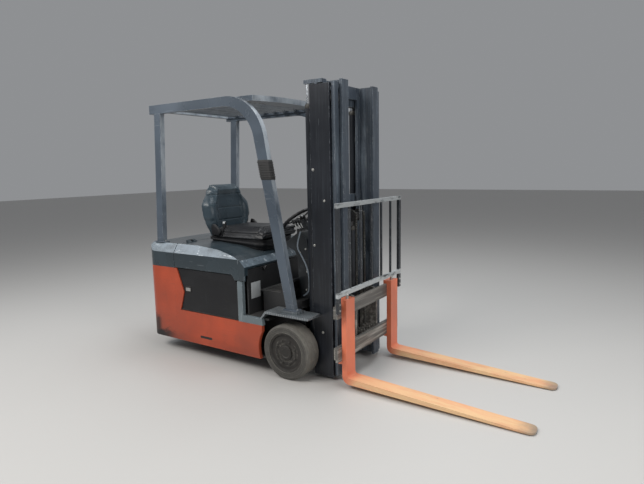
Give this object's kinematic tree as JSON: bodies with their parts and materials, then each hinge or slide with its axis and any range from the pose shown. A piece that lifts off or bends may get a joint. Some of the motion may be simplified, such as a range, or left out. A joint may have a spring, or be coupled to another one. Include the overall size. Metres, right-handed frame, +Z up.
{
  "type": "three-wheel electric counterbalance forklift",
  "caption": "Compact electric sit-down forklift with overhead guard, nested three-stage mast, fork carriage with load backrest, and twin steered rear wheels under a counterweight.",
  "frame": {"origin": "middle of the truck's length and width at floor level", "axes": "+X towards the fork tips, +Y to the driver's left, +Z up"},
  "size_m": [3.156, 1.04, 2.121],
  "materials": {
    "frame_black": "satin black paint, dusty",
    "body_orange": "red-orange paint, scratched",
    "charcoal": "glossy charcoal paint with dust",
    "cover_black": "black textured plastic",
    "battery_grey": "painted steel case over lead cells",
    "step_grey": "light grey paint",
    "tread_steel": "worn tread plate",
    "seat_vinyl": "dark vinyl",
    "guard_slate": "slate blue-grey paint, worn edges",
    "tyre": "dusty cushion rubber",
    "rim_dark": "dark dusty paint",
    "steel_dark": "dark oily steel",
    "zinc": "zinc plated",
    "mast_slate": "slate paint, greased rails",
    "chrome_rod": "hard chrome",
    "chain_steel": "greased chain",
    "bar_steel": "bare dusty steel",
    "fork_orange": "salmon-orange paint, yellowed and dusty on the blades",
    "rest_black": "black paint worn to steel on the top rails"
  },
  "bodies": {
    "chassis": {"frame": "frame_black", "hood_hinges": "steel_dark", "side_panel_left": "body_orange", "side_panel_right": "body_orange", "counterweight": "body_orange", "drawbar_pin": "zinc", "rear_deck": "charcoal", "battery_covers": "cover_black", "battery": "battery_grey", "floor_plate": "frame_black", "step_edges": "step_grey", "fenders": "tread_steel", "cowl": "cover_black", "guard_legs": "guard_slate", "guard_pillars": "guard_slate", "guard_roof": "guard_slate", "steer_bearing": "steel_dark", "steering_column": "cover_black", "levers": "cover_black", "pedals": "cover_black", "drive_axle": "steel_dark", "mast_pivots": "steel_dark"},
    "hood_lid": {"hood": "charcoal", "seat_frame": "frame_black", "seat_cushion": "seat_vinyl", "seat_backrest": "seat_vinyl"},
    "front_wheel_left": {"front_tyre_left": "tyre", "front_rim_left": "rim_dark"},
    "front_wheel_right": {"front_tyre_right": "tyre", "front_rim_right": "rim_dark"},
    "steer_turret": {"steer_yoke": "frame_black"},
    "steer_wheels": {"steer_tyres": "tyre", "steer_rims": "rim_dark"},
    "hand_wheel": {"steering_wheel": "cover_black"},
    "mast_outer": {"outer_mast": "mast_slate", "outer_mast_rollers": "steel_dark", "lift_barrels": "mast_slate"},
    "mast_middle": {"middle_mast": "mast_slate", "middle_mast_rollers": "steel_dark", "lift_rods": "chrome_rod"},
    "mast_inner": {"inner_mast": "mast_slate", "inner_mast_rollers": "steel_dark", "free_lift_barrel": "mast_slate"},
    "lift_head": {"free_lift_head": "steel_dark", "chain_sheaves": "steel_dark", "lift_chains": "chain_steel"},
    "carriage_body": {"carriage": "bar_steel", "carriage_rollers": "steel_dark", "load_backrest": "rest_black"},
    "fork_left_body": {"fork_left": "fork_orange"},
    "fork_right_body": {"fork_right": "fork_orange"},
    "tilt_cylinder_left": {"tilt_barrel_left": "frame_black"},
    "tilt_cylinder_right": {"tilt_barrel_right": "frame_black"},
    "tilt_ram_left": {"tilt_rod_left": "chrome_rod"},
    "tilt_ram_right": {"tilt_rod_right": "chrome_rod"}
  },
  "joints": [
    {"name": "wheel_left_spin", "type": "hinge", "parent": "chassis", "child": "front_wheel_left", "pos_m": [-0.108, 0.435, 0.203], "axis": [0, 1, 0], "continuous": true},
    {"name": "wheel_right_spin", "type": "hinge", "parent": "chassis", "child": "front_wheel_right", "pos_m": [-0.108, -0.435, 0.203], "axis": [0, 1, 0], "continuous": true},
    {"name": "steer", "type": "hinge", "parent": "chassis", "child": "steer_turret", "pos_m": [-1.308, 0, 0.35], "axis": [0, 0, 1], "range_deg": [-90, 90]},
    {"name": "steer_wheel_spin", "type": "hinge", "parent": "steer_turret", "child": "steer_wheels", "pos_m": [-1.308, 0, 0.17], "axis": [0, 1, 0], "continuous": true},
    {"name": "hand_wheel_turn", "type": "hinge", "parent": "chassis", "child": "hand_wheel", "pos_m": [-0.30889, 0, 1.12928], "axis": [-0.5735, 0, 0.8192], "range_deg": [-720, 720]},
    {"name": "hood_lift", "type": "hinge", "parent": "chassis", "child": "hood_lid", "pos_m": [-1.229, 0, 0.935], "axis": [0, -1, 0], "range_deg": [0, 55]},
    {"name": "mast_tilt", "type": "hinge", "parent": "chassis", "child": "mast_outer", "pos_m": [0.007, 0, 0.215], "axis": [0, 1, 0], "range_deg": [-6, 3]},
    {"name": "mast_lift", "type": "slide", "parent": "mast_outer", "child": "mast_middle", "axis": [0, 0, 1], "range_m": [0, 1.45]},
    {"name": "inner_lift", "type": "slide", "parent": "mast_middle", "child": "mast_inner", "axis": [0, 0, 1], "range_m": [0, 1.45]},
    {"name": "free_lift", "type": "slide", "parent": "mast_inner", "child": "carriage_body", "axis": [0, 0, 1], "range_m": [0, 1.35]},
    {"name": "head_lift", "type": "slide", "parent": "mast_inner", "child": "lift_head", "axis": [0, 0, 1], "range_m": [0, 0.675]},
    {"name": "fork_left_slide", "type": "slide", "parent": "carriage_body", "child": "fork_left_body", "axis": [0, 1, 0], "range_m": [-0.2, 0.06]},
    {"name": "fork_right_slide", "type": "slide", "parent": "carriage_body", "child": "fork_right_body", "axis": [0, -1, 0], "range_m": [-0.2, 0.025]},
    {"name": "tilt_barrel_left_swing", "type": "hinge", "parent": "chassis", "child": "tilt_cylinder_left", "pos_m": [-0.438, 0.24, 0.29], "axis": [0, 1, 0], "range_deg": [-3, 2]},
    {"name": "tilt_rod_left_stroke", "type": "slide", "parent": "tilt_cylinder_left", "child": "tilt_ram_left", "axis": [0.9228, 0, 0.3853], "range_m": [-0.0292, 0.0166]},
    {"name": "tilt_barrel_right_swing", "type": "hinge", "parent": "chassis", "child": "tilt_cylinder_right", "pos_m": [-0.438, -0.24, 0.29], "axis": [0, 1, 0], "range_deg": [-3, 2]},
    {"name": "tilt_rod_right_stroke", "type": "slide", "parent": "tilt_cylinder_right", "child": "tilt_ram_right", "axis": [0.9228, 0, 0.3853], "range_m": [-0.0292, 0.0166]}
  ],
  "couplings": [
    {"joint": "inner_lift", "follows": "mast_lift", "ratio": 1},
    {"joint": "head_lift", "follows": "free_lift", "ratio": 0.5},
    {"joint": "hand_wheel_turn", "follows": "steer", "ratio": 8},
    {"joint": "tilt_barrel_left_swing", "follows": "mast_tilt", "ratio": 0.22581},
    {"joint": "tilt_rod_left_stroke", "follows": "mast_tilt", "m_per_rad": 0.24068},
    {"joint": "tilt_barrel_right_swing", "follows": "mast_tilt", "ratio": 0.22581},
    {"joint": "tilt_rod_right_stroke", "follows": "mast_tilt", "m_per_rad": 0.24068}
  ]
}
